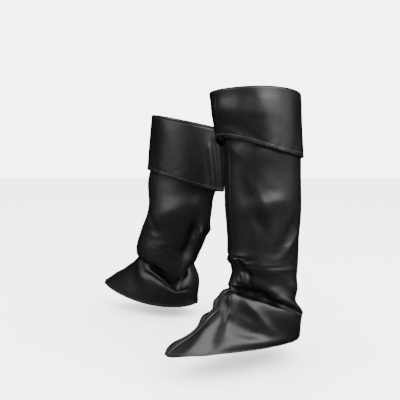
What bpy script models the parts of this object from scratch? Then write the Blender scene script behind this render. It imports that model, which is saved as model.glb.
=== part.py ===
"""A pair of boot toppers: two hollow tubes of soft black leather cloth, in the form they take in use.

Each topper is an outer and an inner panel, joined by a standing seam down the front and another down
the back, with a deep cuff in two halves turned down over the top edge. The shaft bags over a deep
crease at the ankle and the foot part spreads forward to a point. The tubes are open at the top and at
the hem.

Units are metres. X points to the left topper's side, -Y is ahead and Z is up. The origin is the middle
of the left topper's top opening.
"""

import math
from collections import namedtuple

import bmesh
import bpy
from mathutils import Vector

# Driving sizes
WALL = 0.0016  # thickness of the leather cloth
SEAM_GAP = 0.0003  # free space between two pieces at a seam
RIM_HEIGHT = 0.409  # the left topper's top edge above the ground
RIM_FORWARD = 0.0885  # the middle of that edge, ahead of the topper's heel
STANCE_WIDTH = 0.200  # the right heel lies this far to the right of the left one
STRIDE = 0.165  # and this far ahead of it
LEFT_TURN = math.radians(33.0)  # each topper turns out by this angle
RIGHT_TURN = math.radians(25.4)
LIP_REACH = 2  # the standing seams point square to the line between the rows this far up and down
NOMINAL_RADIUS = 0.058  # turns an angle round the tube into a distance along the cloth

# The cuff's fold over the top edge of the shaft
HOOK_SHARE = 0.25  # how far the cuff reaches down inside the shaft, in rows of the cuff's table
STRAIGHT_SHARE = 0.33  # how far the shaft's edge stays beside the cuff, in the same rows
HOOK_CLEARANCE = 0.0010  # air between the shaft's edge and the cuff on either side
FOLD_RADIUS = WALL * 1.5 + HOOK_CLEARANCE
FOLD_STEPS = 4

# Mesh density
COLUMNS = 18  # round one half of a ring, in a panel and in a cuff alike
EDGE_STEPS = 2  # rings from the end of the cuff's fold to the first row of the shaft's table

# One row of a table is one ring round the tube, given by its four outermost points: front and back in
# the plane of the two seams (x ahead of the heel, z above the ground), outer and inner across it.
# heel rounds the back of the ring and points its front, lip is how far the standing seams stand out,
# and steps is how many rings follow before the next row.
Ring = namedtuple("Ring", "front_x front_z back_x back_z outer_y outer_z inner_y inner_z heel lip steps")

LEFT_CUFF = (
    Ring(0.1615, 0.4100, 0.0155, 0.4050, 0.0600, 0.4130, 0.0600, 0.4080, 0, 0, 2),
    Ring(0.1575, 0.3780, 0.0135, 0.3620, 0.0605, 0.3720, 0.0605, 0.3690, 0, 0, 3),
    Ring(0.1500, 0.3430, 0.0105, 0.3130, 0.0610, 0.3220, 0.0610, 0.3220, 0, 0, 0),
)

LEFT_PANEL = (
    Ring(0.1460, 0.3640, 0.0185, 0.3640, 0.0540, 0.3680, 0.0540, 0.3600, 0, 0.0006, 2),
    Ring(0.1370, 0.3320, 0.0150, 0.3280, 0.0520, 0.3320, 0.0520, 0.3260, 0, 0.0010, 6),
    Ring(0.1340, 0.2500, 0.0100, 0.2450, 0.0520, 0.2490, 0.0520, 0.2460, 0, 0.0014, 5),
    Ring(0.1290, 0.1850, 0.0145, 0.1800, 0.0505, 0.1840, 0.0505, 0.1820, 0, 0.0014, 3),
    Ring(0.1310, 0.1600, 0.0160, 0.1450, 0.0500, 0.1530, 0.0500, 0.1530, 0, 0.0014, 4),
    Ring(0.1210, 0.1430, 0.0240, 0.0910, 0.0490, 0.1180, 0.0490, 0.1180, 0.05, 0.0014, 3),
    Ring(0.1270, 0.1290, 0.0110, 0.0690, 0.0540, 0.0975, 0.0530, 0.0975, 0.15, 0.0014, 1),
    Ring(0.1305, 0.1240, 0.0100, 0.0640, 0.0530, 0.0925, 0.0520, 0.0925, 0.2, 0.0012, 1),
    Ring(0.1305, 0.1215, 0.0120, 0.0610, 0.0480, 0.0895, 0.0470, 0.0895, 0.2, 0.0010, 1),
    Ring(0.1320, 0.1190, 0.0125, 0.0575, 0.0475, 0.0860, 0.0465, 0.0860, 0.25, 0.0010, 1),
    Ring(0.1410, 0.1175, 0.0115, 0.0545, 0.0505, 0.0835, 0.0495, 0.0835, 0.25, 0.0016, 1),
    Ring(0.1485, 0.1110, 0.0125, 0.0470, 0.0515, 0.0760, 0.0505, 0.0760, 0.28, 0.0028, 2),
    Ring(0.1570, 0.0910, 0.0120, 0.0400, 0.0500, 0.0620, 0.0490, 0.0620, 0.3, 0.0034, 4),
    Ring(0.1960, 0.0640, 0.0095, 0.0360, 0.0485, 0.0460, 0.0475, 0.0440, 0.32, 0.0036, 4),
    Ring(0.2430, 0.0390, 0.0070, 0.0320, 0.0475, 0.0375, 0.0465, 0.0330, 0.34, 0.0030, 0),
)

RIGHT_CUFF = (
    Ring(0.0910, 0.3970, -0.0590, 0.3650, 0.0600, 0.3810, 0.0600, 0.3810, 0, 0, 2),
    Ring(0.0970, 0.3400, -0.0580, 0.3050, 0.0600, 0.3230, 0.0600, 0.3240, 0, 0, 3),
    Ring(0.1020, 0.2900, -0.0560, 0.2480, 0.0600, 0.2690, 0.0600, 0.2755, 0, 0, 0),
)

RIGHT_PANEL = (
    Ring(0.0900, 0.3500, -0.0470, 0.3200, 0.0540, 0.3350, 0.0540, 0.3350, 0, 0.0006, 4),
    Ring(0.0950, 0.2950, -0.0430, 0.2620, 0.0530, 0.2780, 0.0530, 0.2780, 0, 0.0010, 3),
    Ring(0.1010, 0.2600, -0.0330, 0.2300, 0.0540, 0.2450, 0.0540, 0.2450, 0, 0.0014, 4),
    Ring(0.0970, 0.2120, -0.0260, 0.1860, 0.0540, 0.1990, 0.0540, 0.1990, 0, 0.0014, 4),
    Ring(0.1160, 0.1700, -0.0160, 0.1500, 0.0540, 0.1600, 0.0540, 0.1600, 0, 0.0014, 3),
    Ring(0.1280, 0.1380, -0.0030, 0.1240, 0.0550, 0.1310, 0.0550, 0.1310, 0, 0.0018, 2),
    Ring(0.1280, 0.1200, 0.0050, 0.1110, 0.0540, 0.1120, 0.0540, 0.1120, 0.05, 0.0018, 1),
    Ring(0.1240, 0.1150, 0.0080, 0.1080, 0.0500, 0.1070, 0.0500, 0.1070, 0.1, 0.0018, 1),
    Ring(0.1240, 0.1115, 0.0090, 0.1040, 0.0480, 0.1030, 0.0480, 0.1030, 0.15, 0.0020, 1),
    Ring(0.1290, 0.1070, 0.0055, 0.0950, 0.0500, 0.0970, 0.0500, 0.0970, 0.2, 0.0022, 1),
    Ring(0.1350, 0.1010, 0.0000, 0.0800, 0.0510, 0.0860, 0.0510, 0.0860, 0.25, 0.0028, 2),
    Ring(0.1500, 0.0870, -0.0020, 0.0600, 0.0500, 0.0670, 0.0500, 0.0670, 0.3, 0.0034, 4),
    Ring(0.1850, 0.0650, 0.0000, 0.0400, 0.0490, 0.0440, 0.0490, 0.0440, 0.33, 0.0036, 4),
    Ring(0.2150, 0.0480, 0.0000, 0.0240, 0.0480, 0.0300, 0.0480, 0.0270, 0.34, 0.0030, 0),
)

# One row of a fold table is one soft ridge (positive rise) or trough (negative rise) of the cloth. It
# runs from one place to another. A place is a row of the panel (0 and 1 lie in the fold of the cuff, 2 is
# the first row of its table) and an angle in degrees round the tube from the front seam, positive
# towards the outer side. bow bends the fold sideways in its middle and width is its half width.
Fold = namedtuple("Fold", "row angle end_row end_angle bow width rise")

LEFT_FOLDS = (
    Fold(3.1, 8, 3.2, 42, 0, 0.014, 0.0020),
    Fold(3.9, 45, 3.9, 92, 0, 0.018, 0.0030),
    Fold(3.8, 32, 4.7, 54, 0.002, 0.010, -0.0030),
    Fold(4.6, 124, 5.1, 94, 0, 0.008, 0.0040),
    Fold(4.5, 108, 5.0, 80, 0, 0.009, -0.0025),
    Fold(5.9, 18, 5.8, 32, 0, 0.008, -0.0030),
    Fold(6.2, 18, 7.4, 46, -0.004, 0.008, -0.0035),
    Fold(7.1, 18, 7.5, 32, 0, 0.008, 0.0025),
    Fold(6.4, 56, 6.0, 132, 0, 0.007, 0.0020),
    Fold(9.5, 28, 9.5, 70, 0, 0.008, -0.0050),
    Fold(13.1, 28, 14.4, 46, 0, 0.007, 0.0030),
    Fold(13.6, 16, 14.6, 32, 0, 0.007, -0.0025),
    Fold(13.1, 48, 13.9, 88, 0, 0.008, 0.0030),
    Fold(13.7, 52, 14.3, 88, 0, 0.008, -0.0030),
    Fold(13.2, -8, 13.3, -48, 0, 0.006, 0.0035),
    Fold(14.1, -8, 14.3, -46, 0, 0.006, 0.0035),
    Fold(14.7, -50, 14.2, -95, 0, 0.009, -0.0025),
    Fold(5.9, -18, 5.6, -42, 0, 0.008, -0.0030),
    Fold(6.3, -20, 7.5, -70, 0.004, 0.008, -0.0035),
    Fold(3.6, -40, 4.5, -62, 0, 0.012, -0.0030),
    Fold(4.4, -130, 5.2, -96, 0, 0.009, 0.0035),
    Fold(6.2, -150, 6.5, -90, 0, 0.009, 0.0025),
)

RIGHT_FOLDS = (
    Fold(4.1, -50, 4.2, -118, 0, 0.018, 0.0030),
    Fold(4.9, -40, 5.6, -74, 0, 0.008, -0.0040),
    Fold(5.3, -164, 7.0, -150, 0, 0.008, 0.0060),
    Fold(7.0, -150, 8.4, -148, 0, 0.008, 0.0050),
    Fold(5.2, -140, 6.4, -136, 0, 0.009, -0.0055),
    Fold(11.9, -138, 12.4, -142, 0, 0.007, -0.0040),
    Fold(12.3, -112, 13.2, -104, 0, 0.007, -0.0025),
    Fold(11.4, -42, 12.6, -84, 0, 0.012, 0.0025),
    Fold(13.6, -16, 14.2, -70, 0.004, 0.008, 0.0020),
    Fold(13.3, -30, 14.0, -84, 0.004, 0.008, -0.0020),
    Fold(12.6, -134, 13.1, -160, 0, 0.006, -0.0020),
    Fold(4.0, 60, 4.3, 120, 0, 0.018, 0.0030),
    Fold(4.9, 36, 5.7, 78, 0, 0.009, -0.0040),
    Fold(5.5, 150, 6.8, 118, 0, 0.009, 0.0050),
    Fold(5.3, 128, 6.4, 100, 0, 0.010, -0.0040),
    Fold(12.2, 120, 13.2, 96, 0, 0.008, -0.0030),
    Fold(13.2, 12, 13.4, 50, 0, 0.007, 0.0030),
    Fold(14.0, 12, 14.2, 48, 0, 0.007, 0.0030),
)

Topper = namedtuple("Topper", "name side turn heel cuff panel folds")


def heading(turn, side):
    """Unit vectors ahead and towards the outer side; side is 1 for the left topper, -1 for the right."""
    ahead = Vector((side * math.sin(turn), -math.cos(turn), 0))
    outward = Vector((side * math.cos(turn), math.sin(turn), 0))
    return ahead, outward


def both_toppers():
    """The left and the right topper, with the place of each heel in the object's own frame."""
    ahead, _ = heading(LEFT_TURN, 1)
    left_heel = -RIM_FORWARD * ahead - Vector((0, 0, RIM_HEIGHT))
    right_heel = left_heel + Vector((-STANCE_WIDTH, -STRIDE, 0))
    return (
        Topper("left", 1, LEFT_TURN, left_heel, LEFT_CUFF, LEFT_PANEL, LEFT_FOLDS),
        Topper("right", -1, RIGHT_TURN, right_heel, RIGHT_CUFF, RIGHT_PANEL, RIGHT_FOLDS),
    )


def inset(ring, distance):
    """The same ring, drawn in by a distance all round."""
    return ring._replace(
        front_x=ring.front_x - distance,
        back_x=ring.back_x + distance,
        outer_y=ring.outer_y - distance,
        inner_y=ring.inner_y - distance,
    )


def lowered(ring, distance):
    """The same ring, a distance further down."""
    return ring._replace(
        front_z=ring.front_z - distance,
        back_z=ring.back_z - distance,
        outer_z=ring.outer_z - distance,
        inner_z=ring.inner_z - distance,
    )


def between(rings, row):
    """The ring at a fractional row of a table, on a smooth curve through its rows."""
    last = len(rings) - 1
    low = min(int(row), last - 1)
    share = row - low
    around = [rings[max(0, min(last, low + k))] for k in (-1, 0, 1, 2)]
    weights = (
        -0.5 * share + share**2 - 0.5 * share**3,
        1 - 2.5 * share**2 + 1.5 * share**3,
        0.5 * share + 2 * share**2 - 1.5 * share**3,
        -0.5 * share**2 + 0.5 * share**3,
    )
    return Ring(*(sum(w * value for w, value in zip(weights, column)) for column in zip(*around)))


def ring_point(ring, angle):
    """The point of a ring at an angle from the front seam, in the plane, across it and up."""
    cos, sin = math.cos(angle), math.sin(angle)
    middle_z = (ring.front_z + ring.back_z) / 2
    sag = (ring.outer_z + ring.inner_z) / 2 - middle_z
    return Vector(
        (
            (ring.front_x + ring.back_x) / 2 + (ring.front_x - ring.back_x) / 2 * cos,
            (ring.outer_y if sin > 0 else ring.inner_y) * sin * (1 - ring.heel * cos),
            middle_z
            + (ring.front_z - ring.back_z) / 2 * cos
            + (ring.outer_z - ring.inner_z) / 2 * sin
            + sag * sin * sin,
        )
    )


def way_out(rings, row, angle, step=0.02):
    """The direction out of the cloth at a place; a long step, in rows, gives its general direction."""
    turn = 0.01
    last = len(rings) - 1
    here = between(rings, row)
    above = ring_point(between(rings, max(row - step, 0)), angle)
    below = ring_point(between(rings, min(row + step, last)), angle)
    round_the_tube = ring_point(here, angle + turn) - ring_point(here, angle - turn)
    return (below - above).cross(round_the_tube).normalized()


def lengths_down(rings):
    """The distance from the top edge down to each row, along the outer side."""
    found = [0.0]
    for upper, lower in zip(rings, rings[1:]):
        a, b = ring_point(upper, math.pi / 2), ring_point(lower, math.pi / 2)
        found.append(found[-1] + (b - a).length)
    return found


def length_at(lengths, row):
    low = min(int(row), len(lengths) - 2)
    return lengths[low] + (row - low) * (lengths[low + 1] - lengths[low])


def fold_rise(folds, lengths, row, angle):
    """How far the folds lift the cloth out at one place."""
    total = 0.0
    for fold in folds:
        start = Vector((length_at(lengths, fold.row), math.radians(fold.angle) * NOMINAL_RADIUS))
        end = Vector((length_at(lengths, fold.end_row), math.radians(fold.end_angle) * NOMINAL_RADIUS))
        middle_angle = math.radians(fold.angle + fold.end_angle) / 2
        nearest = middle_angle + math.remainder(angle - middle_angle, 2 * math.pi)
        here = Vector((length_at(lengths, row), nearest * NOMINAL_RADIUS))
        along = end - start
        length = along.length
        share = (here - start).dot(along) / length**2
        across = (here - start).cross(along) / length - fold.bow * 4 * share * (1 - share)
        past = max(-share, share - 1, 0) * length
        total += fold.rise * math.exp(-((across / fold.width) ** 2) - (past / fold.width) ** 2)
    return total


def cloth_point(rings, folds, lengths, row, angle):
    """A point of the panel's outer face."""
    out = way_out(rings, row, angle)
    return ring_point(between(rings, row), angle) + fold_rise(folds, lengths, row, angle) * out


def ring_rows(rings):
    """Every fractional row at which the mesh has a ring."""
    rows = [0.0]
    for index, ring in enumerate(rings[:-1]):
        rows += [index + step / ring.steps for step in range(1, ring.steps + 1)]
    return rows


def leather_cloth(name):
    """Soft black leather cloth with a satin face, for one piece."""
    material = bpy.data.materials.new(f"{name}_cloth")
    material.use_nodes = True
    shader = material.node_tree.nodes["Principled BSDF"]
    shader.inputs["Base Color"].default_value = (0.012, 0.012, 0.013, 1)
    shader.inputs["Roughness"].default_value = 0.42
    shader.inputs["Metallic"].default_value = 0.0
    return material


def sheet_from_grid(name, points, collection):
    """An object from rows of points, thickened inwards into one closed wall."""
    rows, columns = len(points), len(points[0])
    cloth = bmesh.new()
    bmesh.ops.create_grid(cloth, x_segments=columns - 1, y_segments=rows - 1, size=1)
    for vertex in cloth.verts:
        column = round((vertex.co.x + 1) / 2 * (columns - 1))
        row = round((vertex.co.y + 1) / 2 * (rows - 1))
        vertex.co = points[row][column]
    mesh = bpy.data.meshes.new(name)
    cloth.to_mesh(mesh)
    cloth.free()
    mesh.shade_smooth()
    mesh.materials.append(leather_cloth(name))
    piece = bpy.data.objects.new(name, mesh)
    collection.objects.link(piece)
    wall = piece.modifiers.new("Wall", "SOLIDIFY")
    wall.thickness = WALL
    wall.offset = -1


def in_place(topper, point):
    """A point of the topper's own frame, moved to the object's frame."""
    ahead, outward = heading(topper.turn, topper.side)
    return topper.heel + point.x * ahead + point.y * outward + Vector((0, 0, point.z))


def laid_out(topper, half, rows):
    """Rows of points in the object's frame, ordered so that every wall faces out of its tube."""
    if topper.side * half > 0:
        rows = [row[::-1] for row in rows]
    return [[in_place(topper, point) for point in row] for row in rows]


def half_angles(half):
    """Angles from the front seam to the back seam; half is 1 for the outer side and -1 for the inner."""
    return [half * math.pi * column / COLUMNS for column in range(COLUMNS + 1)]


def off_the_seam(point, half, angle, gap):
    """A point moved away from both seams by a gap, which fades towards the middle of its side."""
    return point + Vector((0, half * gap * (1 - abs(math.sin(angle))), 0))


def make_panel(topper, half, collection):
    """One side of the shaft and foot part, with its edges turned out at both seams."""
    edge = lowered(inset(topper.cuff[0], WALL + HOOK_CLEARANCE), FOLD_RADIUS)
    below = inset(between(topper.cuff, STRAIGHT_SHARE), WALL + HOOK_CLEARANCE)
    lip = HOOK_CLEARANCE / 4
    rings = (edge._replace(lip=lip, steps=1), below._replace(lip=lip, steps=EDGE_STEPS)) + topper.panel
    lengths = lengths_down(rings)
    rows = []
    for row in ring_rows(rings):
        line = []
        for angle in half_angles(half):
            point = cloth_point(rings, topper.folds, lengths, row, angle)
            line.append(off_the_seam(point, half, angle, WALL + SEAM_GAP / 2))
        lip = between(rings, row).lip
        line.insert(0, line[0] + lip * way_out(rings, row, 0, LIP_REACH))
        line.append(line[-1] + lip * way_out(rings, row, math.pi, LIP_REACH))
        rows.append(line)
    side = "outer" if half > 0 else "inner"
    sheet_from_grid(f"{topper.name}_{side}_panel", laid_out(topper, half, rows), collection)


def make_cuff(topper, half, collection):
    """One half of the cuff: up inside the shaft, over its top edge and down outside to the hem."""
    rim = topper.cuff[0]
    slant = WALL * math.sin(math.pi / COLUMNS / 2)  # the wall of the last facet leans over the seam
    profile = [inset(between(topper.cuff, HOOK_SHARE), 2 * FOLD_RADIUS)]
    for step in range(FOLD_STEPS + 1):
        turn = math.pi * step / FOLD_STEPS
        drawn_in = inset(rim, FOLD_RADIUS * (1 + math.cos(turn)))
        profile.append(lowered(drawn_in, FOLD_RADIUS * (1 - math.sin(turn))))
    profile += [between(topper.cuff, row) for row in ring_rows(topper.cuff)[1:]]
    rows = [
        [
            off_the_seam(ring_point(ring, angle), half, angle, SEAM_GAP / 2 + slant)
            for angle in half_angles(half)
        ]
        for ring in profile
    ]
    side = "outer" if half > 0 else "inner"
    sheet_from_grid(f"{topper.name}_{side}_cuff", laid_out(topper, half, rows), collection)


def main():
    for leftover in list(bpy.data.objects):
        bpy.data.objects.remove(leftover)
    pair = bpy.data.collections.new("boot_toppers")
    bpy.context.scene.collection.children.link(pair)
    for topper in both_toppers():
        for half in (1, -1):
            make_panel(topper, half, pair)
            make_cuff(topper, half, pair)


main()
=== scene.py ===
"""Looks of the pair of boot toppers: supple black leather cloth, creased, hemmed and stitched.

Each topper is made of the same four pieces of leather cloth as in the frame: an outer and an inner panel
that meet in standing seams down the front and the back, and a deep cuff in two halves, turned down over
the top edge. The form is worked out from the same tables of rings as the solids, with more rings, and
gets the smaller creases, the turned hems and the sewing.

Units are metres in the frame's axes: X is the left topper's side, -Y is ahead and Z is up.
"""

import math
from collections import namedtuple

import bmesh
import bpy
import numpy as np
from mathutils import Matrix, Vector, noise


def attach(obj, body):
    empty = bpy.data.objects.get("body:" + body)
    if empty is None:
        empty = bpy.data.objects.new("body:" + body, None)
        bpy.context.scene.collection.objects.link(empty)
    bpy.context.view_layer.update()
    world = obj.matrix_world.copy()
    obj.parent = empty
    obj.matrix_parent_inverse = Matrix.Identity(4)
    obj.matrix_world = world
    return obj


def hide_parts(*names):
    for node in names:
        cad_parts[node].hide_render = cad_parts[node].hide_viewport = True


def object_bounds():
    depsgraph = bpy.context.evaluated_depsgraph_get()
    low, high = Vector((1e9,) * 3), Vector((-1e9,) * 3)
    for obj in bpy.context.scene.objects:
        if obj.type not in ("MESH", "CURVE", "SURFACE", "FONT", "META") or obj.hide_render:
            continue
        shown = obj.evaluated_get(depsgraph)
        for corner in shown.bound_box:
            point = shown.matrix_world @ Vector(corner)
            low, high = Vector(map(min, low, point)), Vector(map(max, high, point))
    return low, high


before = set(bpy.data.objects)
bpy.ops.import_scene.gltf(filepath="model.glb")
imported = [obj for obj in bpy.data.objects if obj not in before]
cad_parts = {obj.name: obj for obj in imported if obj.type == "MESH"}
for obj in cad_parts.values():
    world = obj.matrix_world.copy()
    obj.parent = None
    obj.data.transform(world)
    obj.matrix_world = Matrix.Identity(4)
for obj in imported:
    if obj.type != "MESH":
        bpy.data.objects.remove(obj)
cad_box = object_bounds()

# Driving sizes, the same as the solids'
WALL = 0.0016  # the solids' wall, which the cloth's place at the rim comes from
SEAM_GAP = 0.0003  # free space between two pieces at a seam
RIM_HEIGHT = 0.409  # the left topper's top edge above the ground
RIM_FORWARD = 0.0885  # the middle of that edge, ahead of the back of the heel
STANCE_WIDTH = 0.200  # the right heel lies this far to the right of the left one
STRIDE = 0.165  # and this far ahead of it
LEFT_TURN = math.radians(33.0)  # each topper turns out by this angle
RIGHT_TURN = math.radians(25.4)
LIP_REACH = 2  # the standing seams point square to the line between the rows this far up and down
NOMINAL_RADIUS = 0.058  # turns an angle round the tube into a distance along the cloth

# The cuff's fold over the top edge of the shaft
HOOK_SHARE = 0.25  # how far the cuff reaches down inside the shaft, in rows of the cuff's table
STRAIGHT_SHARE = 0.33  # how far the shaft's edge stays beside the cuff, in the same rows
HOOK_CLEARANCE = 0.0010  # air between the shaft's edge and the cuff on either side
FOLD_RADIUS = WALL * 1.5 + HOOK_CLEARANCE
HOOK_INNER_STEPS = 8  # rings of the mesh up the inside of the shaft
HOOK_FOLD_STEPS = 10  # and over its edge
RIM_EASE = 4 * FOLD_RADIUS  # the cuff's folds grow to their height over this distance from the edge
HIDDEN_LIP = HOOK_CLEARANCE / 4  # how far the standing seams stand out inside the cuff

# The cloth
CLOTH = 0.0012  # thickness of the leather cloth
ROW_SPACING = 0.0019  # between two rings of the mesh, down the cloth
LEAST_STEPS = 4  # rings between two rows of a table, however close those lie
COLUMNS = 104  # round one half of a ring
SEAM_EDGE = (0.006, 0.016)  # angles of the extra columns beside each seam
LIP_SHARES = (0.2, 0.55, 0.9, 1.0)  # columns up a standing seam, as shares of its height
SEAM_BLEND = 0.2  # the folds' directions are evened out this near to a seam, as the sine of the angle
LIP_ROUNDING = 0.0003  # the top of a standing seam leans back by this much
SMALL_TURN = 0.01  # an angle to each side, for a direction round the tube
WAVES = (  # slow and small unevenness: height and size
    (0.0007, Vector.Fill(3, 0.045)),
    (0.00016, Vector.Fill(3, 0.011)),
)
CRUMPLE = 0.0004  # small crosswise wrinkles at the ankle, where the cloth is pushed together
CRUMPLE_SIZE = Vector((0.020, 0.020, 0.0075))
CRUMPLE_ROWS = ((6.6, 1.3), (12.2, 0.9))  # the rows about which they gather, and how far they spread
CUFF_SEAM_DIP = 0.0004  # the cloth rolls in at the cuff's seams
CUFF_SEAM_WIDTH = 0.0012

# The turned hems
HEM_FOLD_RADIUS = CLOTH + 0.0002
HEM_ARC_STEPS = 5
HEM_ROWS = 0.009  # the mesh is fine within this distance of a hem
HEM_ROW_SPACING = 0.0005
HEM_ROOM = 1.05  # the wider rows end before the fine ones, at this many times their distance
HEM_DIP = 0.00018  # the cloth is drawn in along the stitches
HEM_DIP_WIDTH = 0.0008
HEM_SWELL = 0.0001  # and stands out where it is double
HEM_SWELL_EDGE = HEM_DIP_WIDTH / 3  # how gently the swell begins
CUFF_STITCH_LINE = 0.0047  # the stitches' distance from the cuff's hem
FOOT_STITCH_LINE = 0.0041  # and from the hem of the foot part
TURNED_IN = 1.5  # the cloth is turned in this far, in distances from the hem to the stitches
HEM_PUCKER = 0.0005  # unevenness of a hem
PUCKER_SIZE = Vector.Fill(3, 0.011)
CUFF_PUCKER_REACH = 3 * CUFF_STITCH_LINE  # how far up from the hem the unevenness spreads
FOOT_PUCKER_REACH = 2 * FOOT_STITCH_LINE

# The stitches
STITCH_PITCH = 0.0036
STITCH_HALF_LENGTH = 0.0014
STITCH_HALF_WIDTH = 0.0004
STITCH_HALF_HEIGHT = 0.0004
STITCH_SLANT = math.radians(4)  # each stitch lies a little across the line
STITCH_SIDES = 8  # faces round a stitch
STITCH_RINGS = 5  # and from end to end

# Row of a form table: the four outermost points of one ring, as in the solids. Front and back lie in the
# plane of the seams (x ahead of the heel, z above the ground), outer and inner across it. heel rounds the
# back of the ring and points its front, and lip is how far the standing seams stand out.
Ring = namedtuple("Ring", "front_x front_z back_x back_z outer_y outer_z inner_y inner_z heel lip")

LEFT_CUFF = (
    Ring(0.1615, 0.4100, 0.0155, 0.4050, 0.0600, 0.4130, 0.0600, 0.4080, 0, 0),
    Ring(0.1575, 0.3780, 0.0135, 0.3620, 0.0605, 0.3720, 0.0605, 0.3690, 0, 0),
    Ring(0.1500, 0.3430, 0.0105, 0.3130, 0.0610, 0.3220, 0.0610, 0.3220, 0, 0),
)

LEFT_PANEL = (
    Ring(0.1460, 0.3640, 0.0185, 0.3640, 0.0540, 0.3680, 0.0540, 0.3600, 0, 0.0006),
    Ring(0.1370, 0.3320, 0.0150, 0.3280, 0.0520, 0.3320, 0.0520, 0.3260, 0, 0.0010),
    Ring(0.1340, 0.2500, 0.0100, 0.2450, 0.0520, 0.2490, 0.0520, 0.2460, 0, 0.0014),
    Ring(0.1290, 0.1850, 0.0145, 0.1800, 0.0505, 0.1840, 0.0505, 0.1820, 0, 0.0014),
    Ring(0.1310, 0.1600, 0.0160, 0.1450, 0.0500, 0.1530, 0.0500, 0.1530, 0, 0.0014),
    Ring(0.1210, 0.1430, 0.0240, 0.0910, 0.0490, 0.1180, 0.0490, 0.1180, 0.05, 0.0014),
    Ring(0.1270, 0.1290, 0.0110, 0.0690, 0.0540, 0.0975, 0.0530, 0.0975, 0.15, 0.0014),
    Ring(0.1305, 0.1240, 0.0100, 0.0640, 0.0530, 0.0925, 0.0520, 0.0925, 0.2, 0.0012),
    Ring(0.1305, 0.1215, 0.0120, 0.0610, 0.0480, 0.0895, 0.0470, 0.0895, 0.2, 0.0010),
    Ring(0.1320, 0.1190, 0.0125, 0.0575, 0.0475, 0.0860, 0.0465, 0.0860, 0.25, 0.0010),
    Ring(0.1410, 0.1175, 0.0115, 0.0545, 0.0505, 0.0835, 0.0495, 0.0835, 0.25, 0.0016),
    Ring(0.1485, 0.1110, 0.0125, 0.0470, 0.0515, 0.0760, 0.0505, 0.0760, 0.28, 0.0028),
    Ring(0.1570, 0.0910, 0.0120, 0.0400, 0.0500, 0.0620, 0.0490, 0.0620, 0.3, 0.0034),
    Ring(0.1960, 0.0640, 0.0095, 0.0360, 0.0485, 0.0460, 0.0475, 0.0440, 0.32, 0.0036),
    Ring(0.2430, 0.0390, 0.0070, 0.0320, 0.0475, 0.0375, 0.0465, 0.0330, 0.34, 0.0030),
)

RIGHT_CUFF = (
    Ring(0.0910, 0.3970, -0.0590, 0.3650, 0.0600, 0.3810, 0.0600, 0.3810, 0, 0),
    Ring(0.0970, 0.3400, -0.0580, 0.3050, 0.0600, 0.3230, 0.0600, 0.3240, 0, 0),
    Ring(0.1020, 0.2900, -0.0560, 0.2480, 0.0600, 0.2690, 0.0600, 0.2755, 0, 0),
)

RIGHT_PANEL = (
    Ring(0.0900, 0.3500, -0.0470, 0.3200, 0.0540, 0.3350, 0.0540, 0.3350, 0, 0.0006),
    Ring(0.0950, 0.2950, -0.0430, 0.2620, 0.0530, 0.2780, 0.0530, 0.2780, 0, 0.0010),
    Ring(0.1010, 0.2600, -0.0330, 0.2300, 0.0540, 0.2450, 0.0540, 0.2450, 0, 0.0014),
    Ring(0.0970, 0.2120, -0.0260, 0.1860, 0.0540, 0.1990, 0.0540, 0.1990, 0, 0.0014),
    Ring(0.1160, 0.1700, -0.0160, 0.1500, 0.0540, 0.1600, 0.0540, 0.1600, 0, 0.0014),
    Ring(0.1280, 0.1380, -0.0030, 0.1240, 0.0550, 0.1310, 0.0550, 0.1310, 0, 0.0018),
    Ring(0.1280, 0.1200, 0.0050, 0.1110, 0.0540, 0.1120, 0.0540, 0.1120, 0.05, 0.0018),
    Ring(0.1240, 0.1150, 0.0080, 0.1080, 0.0500, 0.1070, 0.0500, 0.1070, 0.1, 0.0018),
    Ring(0.1240, 0.1115, 0.0090, 0.1040, 0.0480, 0.1030, 0.0480, 0.1030, 0.15, 0.0020),
    Ring(0.1290, 0.1070, 0.0055, 0.0950, 0.0500, 0.0970, 0.0500, 0.0970, 0.2, 0.0022),
    Ring(0.1350, 0.1010, 0.0000, 0.0800, 0.0510, 0.0860, 0.0510, 0.0860, 0.25, 0.0028),
    Ring(0.1500, 0.0870, -0.0020, 0.0600, 0.0500, 0.0670, 0.0500, 0.0670, 0.3, 0.0034),
    Ring(0.1850, 0.0650, 0.0000, 0.0400, 0.0490, 0.0440, 0.0490, 0.0440, 0.33, 0.0036),
    Ring(0.2150, 0.0480, 0.0000, 0.0240, 0.0480, 0.0300, 0.0480, 0.0270, 0.34, 0.0030),
)

# Row of a fold table: one ridge (positive rise) or trough (negative rise) of the cloth, from one place to
# another. A place is a row of the piece's rings and an angle in degrees round the tube from the front
# seam, positive towards the outer side. On a panel, rows 0 and 1 lie in the fold of the cuff and 2 is the
# first row of its table. bow bends the fold sideways in its middle and width is its half width.
Fold = namedtuple("Fold", "row angle end_row end_angle bow width rise")

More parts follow.
